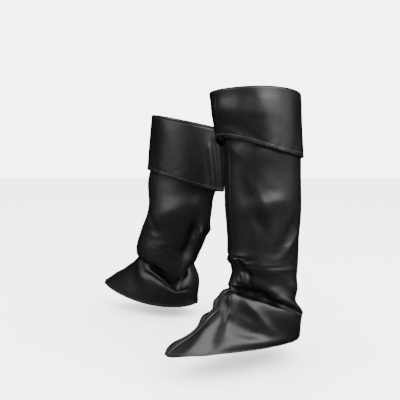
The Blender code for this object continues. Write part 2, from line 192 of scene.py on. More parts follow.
# Broad folds, near to the solids' own; the deep troughs of the tucks are only here
LEFT_FOLDS = (
    # down the shaft
    Fold(3.10, 8, 3.20, 42, 0, 0.014, 0.0010),
    Fold(3.15, 62, 3.15, 104, 0, 0.020, 0.0022),
    Fold(3.74, 41, 4.08, 54, 0, 0.008, 0.0016),
    Fold(4.10, 43, 4.00, 74, 0, 0.012, 0.0027),
    Fold(3.75, 32, 4.40, 50, 0.001, 0.012, -0.0022),
    Fold(4.40, 50, 5.10, 54, 0, 0.014, -0.0012),
    Fold(4.74, 116, 5.14, 97, 0, 0.006, 0.0015),
    Fold(4.50, 104, 5.00, 82, 0, 0.009, -0.0016),
    # the ankle
    Fold(5.90, 18, 5.80, 32, 0, 0.008, -0.0024),
    Fold(6.35, 17, 7.65, 32, 0, 0.008, -0.0034),
    Fold(7.65, 32, 7.80, 52, 0, 0.007, -0.0022),
    Fold(6.70, 118, 6.70, 176, 0, 0.010, 0.0040),
    Fold(6.40, 60, 6.00, 132, 0, 0.007, 0.0006),
    Fold(7.10, 10, 7.40, 24, 0, 0.009, 0.0026),
    Fold(8.50, 12, 8.35, 62, 0, 0.006, -0.0036),
    # the tuck above the foot part
    Fold(10.10, 14, 9.75, 46, 0, 0.0066, -0.0115),
    Fold(9.60, 50, 10.20, 80, 0, 0.0048, -0.0066),
    Fold(10.50, 114, 10.50, 178, 0, 0.0050, 0.0035),
    # the foot part
    Fold(12.70, 22, 13.90, 30, 0, 0.0075, 0.0034),
    Fold(14.10, 29, 14.65, 42, 0, 0.0055, 0.0012),
    Fold(13.25, 60, 14.20, 82, 0, 0.0060, 0.0022),
    Fold(14.30, 34, 14.60, 68, 0, 0.0065, -0.0032),
    Fold(15.30, 56, 15.00, 92, 0, 0.0120, 0.0030),
    Fold(14.60, 30, 15.50, 48, 0, 0.0070, -0.0026),
    Fold(14.90, 14, 15.50, 26, 0, 0.0060, 0.0014),
    Fold(13.65, -10, 13.75, -44, 0, 0.0065, 0.0070),
    Fold(14.45, -10, 14.60, -42, 0, 0.0065, 0.0070),
    Fold(15.65, -10, 15.70, -40, 0, 0.0080, 0.0060),
    # the inner side
    Fold(14.70, -50, 14.20, -95, 0, 0.009, -0.0025),
    Fold(5.90, -18, 5.60, -42, 0, 0.008, -0.0030),
    Fold(6.30, -20, 7.50, -70, 0.004, 0.008, -0.0035),
    Fold(3.60, -40, 4.50, -62, 0, 0.012, -0.0030),
    Fold(4.40, -130, 5.20, -96, 0, 0.009, 0.0035),
    Fold(6.20, -150, 6.50, -90, 0, 0.009, 0.0025),
)

RIGHT_FOLDS = (
    Fold(5.20, -68, 4.30, -126, 0, 0.016, 0.0046),
    Fold(4.90, -58, 4.72, -88, 0, 0.026, 0.0036),
    Fold(4.9, -42, 5.6, -72, 0, 0.007, -0.0018),
    Fold(5.5, -158, 7.0, -151, 0, 0.008, 0.0046),
    Fold(7.0, -151, 8.9, -146, 0, 0.008, 0.0046),
    Fold(5.2, -140, 6.4, -138, 0, 0.009, -0.0050),
    Fold(10.9, -88, 11.2, -124, 0, 0.0065, -0.0100),
    Fold(10.4, -140, 10.4, -158, 0, 0.0045, -0.0060),
    Fold(12.2, -84, 12.4, -126, 0, 0.006, -0.0030),
    Fold(11.4, -46, 12.8, -68, 0, 0.010, 0.0036),
    Fold(13.6, -20, 14.2, -70, 0.004, 0.010, 0.0008),
    Fold(12.6, -134, 13.1, -160, 0, 0.007, -0.0010),
    Fold(4.0, 60, 4.3, 120, 0, 0.018, 0.0030),
    Fold(4.9, 36, 5.7, 78, 0, 0.009, -0.0040),
    Fold(5.5, 150, 6.8, 118, 0, 0.009, 0.0050),
    Fold(5.3, 128, 6.4, 100, 0, 0.010, -0.0040),
    Fold(12.2, 120, 13.2, 96, 0, 0.008, -0.0030),
    Fold(13.2, 12, 13.4, 50, 0, 0.007, 0.0030),
    Fold(14.0, 12, 14.2, 48, 0, 0.007, 0.0030),
)

# Tight creases, only here
LEFT_CREASES = (
    # under the cuff
    Fold(3.05, 2, 3.32, 30, 0, 0.0050, 0.0004),
    Fold(3.06, 27, 3.26, 16, 0, 0.0040, 0.0003),
    # down the shaft
    Fold(3.76, 33, 4.20, 50, 0, 0.0060, -0.0008),
    Fold(4.62, 122, 5.06, 98, 0.001, 0.0036, 0.0004),
    # the pinch at the front
    Fold(5.66, 6, 5.66, 22, 0, 0.0022, -0.0022),
    Fold(5.52, 6, 5.50, 20, 0, 0.0035, 0.0004),
    Fold(5.95, 12, 6.35, 16, 0, 0.0022, -0.0020),
    Fold(6.35, 16, 7.65, 32, 0, 0.0026, -0.0014),
    Fold(7.65, 32, 7.80, 50, 0, 0.0030, -0.0008),
    Fold(5.90, 6, 6.30, 11, 0, 0.0024, 0.0010),
    Fold(6.90, 4, 7.70, 12, 0, 0.0030, -0.0010),
    Fold(6.25, 22, 6.10, 44, 0, 0.0030, -0.0010),
    # thin wrinkles across the ankle
    Fold(6.00, 58, 5.92, 80, 0, 0.0020, 0.0004),
    Fold(6.22, 64, 6.05, 130, 0, 0.0020, 0.0007),
    Fold(6.42, 62, 6.35, 76, 0, 0.0020, 0.0005),
    # the foot part
    Fold(12.75, 20, 13.80, 27, 0, 0.0030, 0.0006),
    Fold(14.10, 30, 14.60, 42, 0, 0.0030, 0.0005),
    Fold(12.90, 48, 13.90, 76, 0, 0.0050, 0.0014),
    Fold(13.95, 34, 14.30, 60, 0, 0.0045, -0.0006),
    Fold(12.30, 2, 15.85, 2, 0, 0.0018, -0.0014),
    Fold(15.00, 36, 15.40, 47, 0, 0.0045, -0.0006),
    # the inner side
    Fold(5.70, -4, 5.62, -30, 0, 0.0024, -0.0018),
    Fold(6.00, -10, 6.90, -26, 0, 0.0028, -0.0018),
    Fold(6.90, -26, 7.50, -50, 0, 0.0030, -0.0016),
    Fold(6.20, -60, 6.05, -120, 0, 0.0024, 0.0010),
    Fold(4.40, -132, 5.10, -100, 0.001, 0.0042, 0.0010),
    Fold(12.80, -46, 13.70, -80, 0, 0.0048, 0.0012),
    Fold(13.30, -52, 14.30, -92, 0, 0.0050, -0.0012),
)

RIGHT_CREASES = (
    # down the shaft
    Fold(5.00, -44, 5.45, -69, 0, 0.0034, -0.0009),
    Fold(5.45, -69, 5.80, -73, 0, 0.0030, -0.0004),
    # the heavy folds at the back
    Fold(5.30, -162, 5.80, -149, 0, 0.0040, 0.0014),
    Fold(5.80, -149, 7.00, -151, 0, 0.0036, 0.0012),
    Fold(7.00, -151, 8.80, -148, 0, 0.0036, 0.0012),
    Fold(5.36, -138, 5.34, -148, 0, 0.0040, -0.0008),
    Fold(5.55, -126, 5.95, -140, 0, 0.0030, 0.0010),
    Fold(5.85, -124, 6.40, -142, 0, 0.0030, 0.0008),
    Fold(6.05, -158, 7.20, -164, 0, 0.0035, -0.0012),
    # the foot part
    Fold(12.60, -136, 12.95, -156, 0, 0.0030, -0.0008),
    Fold(13.00, -158, 13.95, -166, 0, 0.0026, 0.0010),
    Fold(12.00, -36, 12.90, -80, 0, 0.0070, 0.0008),
    Fold(13.50, -34, 13.75, -60, 0.001, 0.0040, 0.0003),
    Fold(14.30, -46, 14.36, -68, 0.001, 0.0040, 0.0003),
    # the outer side
    Fold(4.95, 40, 5.60, 76, 0, 0.0040, -0.0012),
    Fold(5.40, 154, 6.60, 124, 0, 0.0040, 0.0012),
    Fold(5.90, 60, 6.00, 110, 0, 0.0030, 0.0010),
    Fold(13.05, 8, 13.35, 44, 0, 0.0040, 0.0012),
    Fold(13.85, 8, 14.15, 44, 0, 0.0040, 0.0012),
    Fold(12.60, 50, 13.60, 84, 0, 0.0048, 0.0012),
)

# Row of a drop table: a tongue of the shaft that hangs lower than the rest, by a depth in metres. Its
# middle is at a row and an angle, and it fades over a number of rows up and down and a spread of degrees to
# each side. A negative depth lifts the cloth.
Drop = namedtuple("Drop", "row rows angle spread depth")

LEFT_DROPS = (
    Drop(10, 3.2, 100, 45, -0.008),
)
RIGHT_DROPS = (
    Drop(10, 2.9, -134, 27, 0.029),
    Drop(10, 2.9, 126, 30, 0.016),
)

LEFT_CUFF_FOLDS = (
    Fold(0.90, 2, 0.98, 46, 0, 0.014, 0.0020),
    Fold(0.72, 64, 0.80, 98, 0, 0.018, 0.0007),
    Fold(0.80, 68, 2.00, 72, 0, 0.012, 0.0010),
    Fold(0.40, 50, 1.90, 50, 0, 0.009, -0.0010),
    Fold(1.45, 18, 1.60, 42, 0, 0.010, -0.0010),
    Fold(1.80, 50, 1.20, 58, 0, 0.010, -0.0008),
    Fold(1.70, 112, 0.80, 120, 0, 0.012, -0.0010),
    Fold(0.60, -30, 1.70, -44, 0, 0.016, -0.0014),
    Fold(0.70, -90, 1.80, -84, 0, 0.018, 0.0014),
)

RIGHT_CUFF_FOLDS = (
    Fold(0.60, -86, 1.70, -104, 0, 0.014, 0.0006),
    Fold(0.30, -48, 1.70, -56, 0, 0.014, -0.0012),
    Fold(0.70, -145, 1.90, -157, 0, 0.0045, 0.0016),
    Fold(0.50, -153, 1.95, -165, 0, 0.0040, -0.0016),
    Fold(0.35, -161, 2.00, -176, 0, 0.0045, 0.0018),
    Fold(0.80, -124, 1.80, -128, 0, 0.010, -0.0010),
    Fold(0.50, 60, 1.80, 70, 0, 0.016, -0.0014),
    Fold(0.40, 120, 1.80, 112, 0, 0.016, 0.0014),
)

BROAD = 2.0  # how steeply a fold falls away from its line: a smooth hump
TIGHT = 1.45  # and a crease, with a sharper crest
END_FADE = 1.8  # a fold dies away at its ends over this many times its half width
DROP_EDGE = 4  # how steeply a tongue of the shaft fades up and down
DROP_SLOPE = 1.5  # and to its sides

Topper = namedtuple("Topper", "name side turn heel cuff panel folds creases cuff_folds drops")

# The leather's face, with painted shade in its troughs and painted light on its ridges. A mark tells how high
# the cloth is lifted there, from 0 in a trough to 1 on a ridge.
LEVEL_MARK = 0.5  # of cloth that is neither lifted nor sunk
RAISED_SPAN = 0.010  # from the deepest trough to the highest ridge
# painted shade in a trough and painted light on a ridge, as tones of the leather
TROUGH_PAINTED_SHADE_TONE = (0.0012, 0.0012, 0.0013, 1)
RIDGE_PAINTED_LIGHT_TONE = (0.0032, 0.0032, 0.0034, 1)
# painted shade: the leather's shine falls off towards the bottom of a trough
TROUGH_PAINTED_SHADE_SHINE = 0.06
FULL_SHINE = 0.5
FULL_SHINE_MARK = 0.35  # from this mark up the leather has its full shine
NOISE_RANGE = (0.3, 0.7)  # where nearly all values of a noise texture lie

# Plain tones
LEATHER_TONE = (0.006, 0.006, 0.0065)  # only where the marks can't be read
BACKING_TONE = (0.012, 0.012, 0.013)
THREAD_TONE = (0.022, 0.022, 0.023)

# The camera, from the left topper's heel
CAMERA_FROM_HEEL = Vector((0.8926, -0.157, 0.3171))
CAMERA_PITCH = math.radians(4.594)  # below level
CAMERA_LENS = 50.4  # millimetres, on a sensor 36 wide
CAMERA_SENSOR = 36

# Light: azimuth from the camera's side towards the photo's right, elevation, distance, size and power
Softbox = namedtuple("Softbox", "name azimuth elevation distance width height power")
SOFTBOXES = (
    Softbox("main_softbox", 42, 33, 2.2, 2.1, 1.9, 84),
    Softbox("fill_softbox", -55, 29, 2.6, 2.4, 2.0, 52),
    Softbox("top_softbox", 62, 68, 2.4, 2.2, 2.2, 8),
    Softbox("side_softbox", 84, 14, 2.4, 0.9, 1.6, 5),
)
FLOOR_SIZE = 14
FLOOR_TONE = (0.80, 0.80, 0.80)
FLOOR_ROUGHNESS = 0.8
WORLD_TONE = (1.0, 1.0, 1.0, 1)
WORLD_STRENGTH = 6.0


def heading(turn, side):
    """Unit vectors ahead and towards the outer side; side is 1 for the left topper, -1 for the right."""
    ahead = Vector((side * math.sin(turn), -math.cos(turn), 0))
    outward = Vector((side * math.cos(turn), math.sin(turn), 0))
    return ahead, outward


def left_heel():
    """The back of the left topper's heel, on the ground."""
    ahead, _ = heading(LEFT_TURN, 1)
    return -RIM_FORWARD * ahead - Vector((0, 0, RIM_HEIGHT))


def both_toppers():
    """The left and the right topper, with the place of each heel in the frame."""
    left = left_heel()
    right = left + Vector((-STANCE_WIDTH, -STRIDE, 0))
    return (
        Topper(
            "left", 1, LEFT_TURN, left, LEFT_CUFF, LEFT_PANEL, LEFT_FOLDS, LEFT_CREASES, LEFT_CUFF_FOLDS,
            LEFT_DROPS,
        ),
        Topper(
            "right", -1, RIGHT_TURN, right, RIGHT_CUFF, RIGHT_PANEL, RIGHT_FOLDS, RIGHT_CREASES,
            RIGHT_CUFF_FOLDS, RIGHT_DROPS,
        ),
    )


# Rings

def inset(ring, distance):
    """The same ring, drawn in by a distance all round."""
    return ring._replace(
        front_x=ring.front_x - distance,
        back_x=ring.back_x + distance,
        outer_y=ring.outer_y - distance,
        inner_y=ring.inner_y - distance,
    )


def lowered(ring, distance):
    """The same ring, a distance further down."""
    return ring._replace(
        front_z=ring.front_z - distance,
        back_z=ring.back_z - distance,
        outer_z=ring.outer_z - distance,
        inner_z=ring.inner_z - distance,
    )


def between(rings, rows):
    """The rings at fractional rows of a table, on smooth curves through its rows; rows is an array."""
    table = np.array(rings)
    last = len(table) - 1
    rows = np.clip(np.atleast_1d(rows), 0, last)
    low = np.minimum(rows.astype(int), last - 1)
    share = (rows - low)[:, None]
    around = [table[np.clip(low + k, 0, last)] for k in (-1, 0, 1, 2)]
    weights = (  # of a Catmull-Rom curve
        -0.5 * share + share**2 - 0.5 * share**3,
        1 - 2.5 * share**2 + 1.5 * share**3,
        0.5 * share + 2 * share**2 - 1.5 * share**3,
        -0.5 * share**2 + 0.5 * share**3,
    )
    return Ring(*sum(weight * rows_of_values for weight, rows_of_values in zip(weights, around)).T)


def ring_at(rings, row):
    """One ring at a fractional row of a table."""
    return Ring(*(float(value[0]) for value in between(rings, row)))


def ring_points(rings, rows, angles):
    """Points of the rings at some rows (first axis) and angles (second axis), as x, y and z."""
    ring = Ring(*(values[:, None] for values in between(rings, rows)))
    cos, sin = np.cos(angles)[None, :], np.sin(angles)[None, :]
    middle_z = (ring.front_z + ring.back_z) / 2
    sag = (ring.outer_z + ring.inner_z) / 2 - middle_z
    ahead = (ring.front_x + ring.back_x) / 2 + (ring.front_x - ring.back_x) / 2 * cos
    across = np.where(sin > 0, ring.outer_y, ring.inner_y) * sin * (1 - ring.heel * cos)
    up = (
        middle_z
        + (ring.front_z - ring.back_z) / 2 * cos
        + (ring.outer_z - ring.inner_z) / 2 * sin
        + sag * sin**2
    )
    return np.stack((ahead, across, up), axis=-1)


def unit(vectors):
    """The same directions, each with a length of 1."""
    return vectors / np.linalg.norm(vectors, axis=-1, keepdims=True)


def ways_to_stand(rings, rows, angle):
    """Directions in which a standing seam points: out of the tube, square to the cloth's general fall."""
    above = ring_points(rings, rows - LIP_REACH, np.array([angle]))
    below = ring_points(rings, rows + LIP_REACH, np.array([angle]))
    before = ring_points(rings, rows, np.array([angle - SMALL_TURN]))
    after = ring_points(rings, rows, np.array([angle + SMALL_TURN]))
    return unit(np.cross(below - above, after - before))[:, 0]


def lengths_down(rings, angle=math.pi / 2):
    """The distance from the top edge down to each row, along the outer side."""
    points = ring_points(rings, np.arange(len(rings)), np.array([angle]))[:, 0]
    return np.concatenate(([0.0], np.cumsum(np.linalg.norm(np.diff(points, axis=0), axis=1))))


def lift(folds, rings, rows, angles, steepness):
    """How far the folds lift the cloth out, at some rows and angles."""
    lengths = lengths_down(rings)
    down = np.interp(rows, np.arange(len(rings)), lengths)[:, None]
    total = np.zeros((len(rows), len(angles)))
    for fold in folds:
        fold_rows = (fold.row, fold.end_row)
        start_down, end_down = np.interp(fold_rows, np.arange(len(rings)), lengths)
        start_round, end_round = np.radians((fold.angle, fold.end_angle)) * NOMINAL_RADIUS
        middle = math.radians(fold.angle + fold.end_angle) / 2
        nearest = middle + np.remainder(angles - middle + math.pi, 2 * math.pi) - math.pi
        round_off = (nearest * NOMINAL_RADIUS - start_round)[None, :]
        down_off = down - start_down
        along_down, along_round = end_down - start_down, end_round - start_round
        length = math.hypot(along_down, along_round)
        share = (down_off * along_down + round_off * along_round) / length**2
        across = (down_off * along_round - round_off * along_down) / length
        across = across - fold.bow * 4 * share * (1 - share)  # the whole bow in the fold's middle
        past = np.maximum(np.maximum(-share, share - 1), 0) * length
        shape = np.abs(across / fold.width) ** steepness + (past / (END_FADE * fold.width)) ** 2
        total += fold.rise * np.exp(-shape)
    return total


def fall(drops, rows, angles):
    """How far the tongues of the shaft lower the cloth, at some rows and angles."""
    total = np.zeros((len(rows), len(angles)))
    for drop in drops:
        up_down = np.exp(-(((rows - drop.row) / drop.rows) ** DROP_EDGE))
        away = np.abs(np.remainder(np.degrees(angles) - drop.angle + 180, 360) - 180) / drop.spread
        total += drop.depth * up_down[:, None] * np.exp(-(away**DROP_SLOPE))[None, :]
    return total


def unevenness(points, size, seed):
    """Smooth noise from about -1 to 1 at each point, the same on both sides of a seam."""
    values = [
        noise.noise(Vector((point[0] / size.x + seed, point[1] / size.y, point[2] / size.z)))
        for point in points.reshape(-1, 3)
    ]
    return np.array(values).reshape(points.shape[:-1])


def waves(points, seed):
    """The cloth's general unevenness."""
    return sum(height * unevenness(points, size, seed) for height, size in WAVES)


def crumple(points, rows, seed):
    """The small wrinkles that gather where the cloth is pushed together."""
    gathered = sum(np.exp(-(((rows - row) / spread) ** 2)) for row, spread in CRUMPLE_ROWS)[:, None]
    return CRUMPLE * gathered * unevenness(points, CRUMPLE_SIZE, seed)


def pucker(points, distance, reach, seed):
    """Unevenness of the cloth near a hem."""
    near_hem = np.exp(-((distance / reach) ** 2))
    return HEM_PUCKER * near_hem * unevenness(points, PUCKER_SIZE, seed)


# Rows and columns of the mesh

def mesh_rows(rings):
    """Fractional rows of the mesh's rings, close together where a hem is turned."""
    front, side = lengths_down(rings, 0), lengths_down(rings)
    rows = [0.0]
    for index in range(len(rings) - 1):
        length = max(front[index + 1] - front[index], side[index + 1] - side[index])
        steps = max(LEAST_STEPS, math.ceil(length / ROW_SPACING))
        rows += [index + step / steps for step in range(1, steps + 1)]
    last = len(rings) - 1
    last_length = min(front[-1] - front[-2], side[-1] - side[-2])
    hem_share = HEM_ROWS / last_length
    hem_steps = math.ceil(HEM_ROWS / HEM_ROW_SPACING)
    rows = [row for row in rows if row < last - hem_share * HEM_ROOM]
    rows += [last - hem_share * (1 - step / hem_steps) for step in range(hem_steps + 1)]
    return np.array(rows)


def half_angles(half):
    """Angles from the front seam to the back seam; half is 1 for the outer side and -1 for the inner."""
    even = np.linspace(0, math.pi, COLUMNS + 1)[1:-1]
    edge = np.array((0.0,) + SEAM_EDGE)
    return half * np.concatenate((edge, even, (math.pi - edge)[::-1]))


def off_the_seam(points, half, angles, gap):
    """Points moved away from both seams by a gap, which fades towards the middle of their side."""
    moved = points.copy()
    moved[..., 1] += half * gap * (1 - np.abs(np.sin(angles)))
    return moved


# The cloth's own form

def hem_distance(points):
    """How far each point lies from the hem, along its own column."""
    steps = np.linalg.norm(np.diff(points, axis=0), axis=-1)
    from_hem = np.cumsum(steps[::-1], axis=0)[::-1]
    return np.vstack((from_hem, np.zeros((1, points.shape[1]))))


def hem_lift(distance, stitch_line):
    """The groove under the stitches and the swell of the doubled cloth beyond it."""
    groove = -HEM_DIP * np.exp(-(((distance - stitch_line) / HEM_DIP_WIDTH) ** 2))
    doubled = 1 / (1 + np.exp((distance - stitch_line) / HEM_SWELL_EDGE))
    return groove + HEM_SWELL * doubled


def outward_normals(points, half):
    """Normals of a finished grid of points, pointing out of the tube."""
    down, across = np.gradient(points, axis=0), np.gradient(points, axis=1)
    return unit(np.cross(down, across)) * half


def ways_to_lift(points, half, angles):
    """Normals of a finished grid, turned into the plane of the seams beside them, so that no gap opens."""
    normals = outward_normals(points, half)
    normals[..., 1] *= np.minimum(np.abs(np.sin(angles)) / SEAM_BLEND, 1)
    return unit(normals)


def with_turned_hem(points, half, stitch_line):
    """The rows of a grid, carried round the hem and up behind it, a little past the stitches."""
    normals = outward_normals(points, half)
    distance = hem_distance(points)
    down = unit(points[-1] - points[-2])
    centre = points[-1] - HEM_FOLD_RADIUS * normals[-1]
    rows = [points]
    for step in range(1, HEM_ARC_STEPS):
        turn = math.pi * step / HEM_ARC_STEPS
        edge = math.cos(turn) * normals[-1] + math.sin(turn) * down
        rows.append((centre + HEM_FOLD_RADIUS * edge)[None])
    behind = points - 2 * HEM_FOLD_RADIUS * normals
    inside = [row for row in range(len(points)) if distance[row].max() < stitch_line * TURNED_IN]
    rows.append(behind[inside[::-1]])
    return np.vstack(rows)


def in_place(topper, points):
    """Points of the topper's own frame, moved to the row's frame."""
    ahead, outward = heading(topper.turn, topper.side)
    axes = np.array((ahead, outward, (0, 0, 1)))
    return points @ axes + np.array(topper.heel)


def panel_rings(topper):
    """The table of the panels, carried on up into the fold of the cuff."""
    edge = lowered(inset(topper.cuff[0], WALL + HOOK_CLEARANCE), FOLD_RADIUS)
    below = inset(ring_at(topper.cuff, STRAIGHT_SHARE), WALL + HOOK_CLEARANCE)
    return (edge._replace(lip=HIDDEN_LIP), below._replace(lip=HIDDEN_LIP)) + topper.panel


def lip_columns(rings, rows, angle, seam, half):
    """The columns of one standing seam, from the cloth out; the rows behind a hem have no seam."""
    turned_rows = len(seam) - len(rows)
    heights = np.concatenate((between(rings, rows).lip, np.zeros(turned_rows)))
    ways = ways_to_stand(rings, rows, angle)
    ways = np.vstack((ways, np.repeat(ways[-1:], turned_rows, axis=0)))
    columns = []
    for share in LIP_SHARES:
        column = seam + (heights * share)[:, None] * ways
        column[:, 1] -= half * LIP_ROUNDING * share**2
        columns.append(column[:, None])
    return columns


def painted_shade_marks(rise, grid, first_row, first_column):
    """The mark of each point of a grid, which paints shade into the troughs and light onto the ridges; the
    folds' rise is known from a first row and column on.
    """
    shade_marks = np.full(grid.shape[:2], LEVEL_MARK)
    rows, columns = rise.shape
    known = np.clip(LEVEL_MARK + rise / RAISED_SPAN, 0, 1)
    shade_marks[first_row:first_row + rows, first_column:first_column + columns] = known
    return shade_marks


def panel_points(topper, half):
    """The grid of a panel with its standing seams and its marks for painted shade, and the plain cloth that
    its stitches follow.
    """
    rings = panel_rings(topper)
    rows, angles = mesh_rows(rings), half_angles(half)
    points = ring_points(rings, rows, angles)
    points[..., 2] -= fall(topper.drops, rows, angles)
    out = ways_to_lift(points, half, angles)
    distance = hem_distance(points)
    rise = lift(topper.folds, rings, rows, angles, BROAD) + lift(topper.creases, rings, rows, angles, TIGHT)
    rise += waves(points, topper.side)
    rise += crumple(points, rows, topper.side)
    rise += pucker(points, distance, FOOT_PUCKER_REACH, topper.side)
    rise += hem_lift(distance, FOOT_STITCH_LINE)
    points = off_the_seam(points + rise[..., None] * out, half, angles, CLOTH + SEAM_GAP / 2)
    shown = with_turned_hem(points, half, FOOT_STITCH_LINE)
    front = lip_columns(rings, rows, 0, shown[:, 0], half)
    back = lip_columns(rings, rows, math.pi, shown[:, -1], half)
    grid = np.hstack(front[::-1] + [shown] + back)
    return grid, painted_shade_marks(rise, grid, 0, len(LIP_SHARES)), points


def hook_rings(topper):
    """The cuff's rings up the inside of the shaft and over its edge."""
    rim = topper.cuff[0]
    start = inset(ring_at(topper.cuff, HOOK_SHARE), 2 * FOLD_RADIUS)
    end = inset(lowered(rim, FOLD_RADIUS), 2 * FOLD_RADIUS)
    rings = []
    for step in range(HOOK_INNER_STEPS):
        rings.append(Ring(*(low + (high - low) * step / HOOK_INNER_STEPS for low, high in zip(start, end))))
    for step in range(HOOK_FOLD_STEPS):
        turn = math.pi * step / HOOK_FOLD_STEPS
        drawn_in = inset(rim, FOLD_RADIUS * (1 + math.cos(turn)))
        rings.append(lowered(drawn_in, FOLD_RADIUS * (1 - math.sin(turn))))
    return rings


def cuff_points(topper, half):
    """The grid of half a cuff with its marks for painted shade, and the plain cloth that its stitches follow.
    """
    angles = half_angles(half)
    hook = hook_rings(topper)
    inner = ring_points(hook, np.arange(len(hook)), angles)
    rings = (lowered(topper.cuff[0], FOLD_RADIUS),) + topper.cuff[1:]
    rows = mesh_rows(rings)
    points = ring_points(rings, rows, angles)
    distance = hem_distance(points)
    rise = lift(topper.cuff_folds, rings, rows, angles, BROAD)
    rise += waves(points, topper.side)
    rise += pucker(points, distance, CUFF_PUCKER_REACH, topper.side)
    rise *= np.minimum((distance[0] - distance) / RIM_EASE, 1)
    rise += hem_lift(distance, CUFF_STITCH_LINE)
    points = points + rise[..., None] * ways_to_lift(points, half, angles)
    grid = np.vstack((inner, with_turned_hem(points, half, CUFF_STITCH_LINE)))
    from_seam = np.abs(np.sin(angles)) * NOMINAL_RADIUS
    dip = (CUFF_SEAM_DIP * np.exp(-((from_seam / CUFF_SEAM_WIDTH) ** 2)))[None, :, None]
    grid = off_the_seam(grid - dip * outward_normals(grid, half), half, angles, SEAM_GAP / 2)
    points = off_the_seam(points - dip * outward_normals(points, half), half, angles, SEAM_GAP / 2)
    return grid, painted_shade_marks(rise, grid, len(hook), 0), points


# Materials

def group_socket(group, name, direction, value=None):
    """A named input or output of a node group, for a plain number."""
    socket = group.interface.new_socket(name, in_out=direction, socket_type="NodeSocketFloat")
    if value is not None:
        socket.default_value = value


def mottle_group():
    """Slow change over a surface between two values, for the roughness of the cloth and the thread."""
    group = bpy.data.node_groups.new("mottle", "ShaderNodeTree")
    group_socket(group, "Scale", "INPUT", value=20.0)
    group_socket(group, "Low", "INPUT", value=0.4)
    group_socket(group, "High", "INPUT", value=0.5)
    group_socket(group, "Value", "OUTPUT")
    nodes, links = group.nodes, group.links
    ends_in, ends_out = nodes.new("NodeGroupInput"), nodes.new("NodeGroupOutput")
    place = nodes.new("ShaderNodeTexCoord")
    clouds = nodes.new("ShaderNodeTexNoise")
    clouds.inputs["Detail"].default_value = 4
    spread = nodes.new("ShaderNodeMapRange")
    spread.inputs["From Min"].default_value, spread.inputs["From Max"].default_value = NOISE_RANGE
    links.new(place.outputs["Object"], clouds.inputs["Vector"])
    links.new(ends_in.outputs["Scale"], clouds.inputs["Scale"])
    links.new(clouds.outputs["Fac"], spread.inputs["Value"])
    links.new(ends_in.outputs["Low"], spread.inputs["To Min"])
    links.new(ends_in.outputs["High"], spread.inputs["To Max"])
    links.new(spread.outputs["Result"], ends_out.inputs["Value"])
    return group


def grain_group():
    """Height of a pebbled grain: rounded cells with fine lines between them, mixed with finer noise."""
    group = bpy.data.node_groups.new("pebbled_grain", "ShaderNodeTree")
    group_socket(group, "Cells per metre", "INPUT", value=900.0)
    group_socket(group, "Fine", "INPUT", value=0.3)
    group_socket(group, "Height", "OUTPUT")
    nodes, links = group.nodes, group.links
    ends_in, ends_out = nodes.new("NodeGroupInput"), nodes.new("NodeGroupOutput")
    place = nodes.new("ShaderNodeTexCoord")
    cells = nodes.new("ShaderNodeTexVoronoi")
    cells.feature = "SMOOTH_F1"
    cells.inputs["Smoothness"].default_value = 0.6
    fine = nodes.new("ShaderNodeTexNoise")
    fine.inputs["Detail"].default_value = 3
    twice = nodes.new("ShaderNodeMath")
    twice.operation = "MULTIPLY"
    twice.inputs[1].default_value = 2.0
    mix = nodes.new("ShaderNodeMix")
    links.new(place.outputs["Object"], cells.inputs["Vector"])
    links.new(place.outputs["Object"], fine.inputs["Vector"])
    links.new(ends_in.outputs["Cells per metre"], cells.inputs["Scale"])
    links.new(ends_in.outputs["Cells per metre"], twice.inputs[0])
    links.new(twice.outputs["Value"], fine.inputs["Scale"])
    links.new(ends_in.outputs["Fine"], mix.inputs["Factor"])
    links.new(cells.outputs["Distance"], mix.inputs["A"])
    links.new(fine.outputs["Fac"], mix.inputs["B"])
    links.new(mix.outputs["Result"], ends_out.inputs["Height"])
    return group


def placed_group(material, group, **values):
    """A node group placed in a material, with its inputs' values; a name's spaces are written as _."""
    node = material.node_tree.nodes.new("ShaderNodeGroup")
    node.node_tree = group
    for name, value in values.items():
        node.inputs[name.replace("_", " ")].default_value = value
    return node


def new_material(name, tone, roughness):
    """A material with a plain tone and roughness, which stand in where its nodes can't be read."""
    material = bpy.data.materials.new(name)
    material.use_nodes = True
    shader = material.node_tree.nodes["Principled BSDF"]
    shader.inputs["Base Color"].default_value = (*tone, 1)
    shader.inputs["Roughness"].default_value = roughness
    return material, shader


def add_bump(material, shader, height_socket, strength, distance):
    """Fine relief from a height, distance metres deep at full strength."""
    bump = material.node_tree.nodes.new("ShaderNodeBump")
    bump.inputs["Strength"].default_value = strength
    bump.inputs["Distance"].default_value = distance
    material.node_tree.links.new(height_socket, bump.inputs["Height"])
    material.node_tree.links.new(bump.outputs["Normal"], shader.inputs["Normal"])


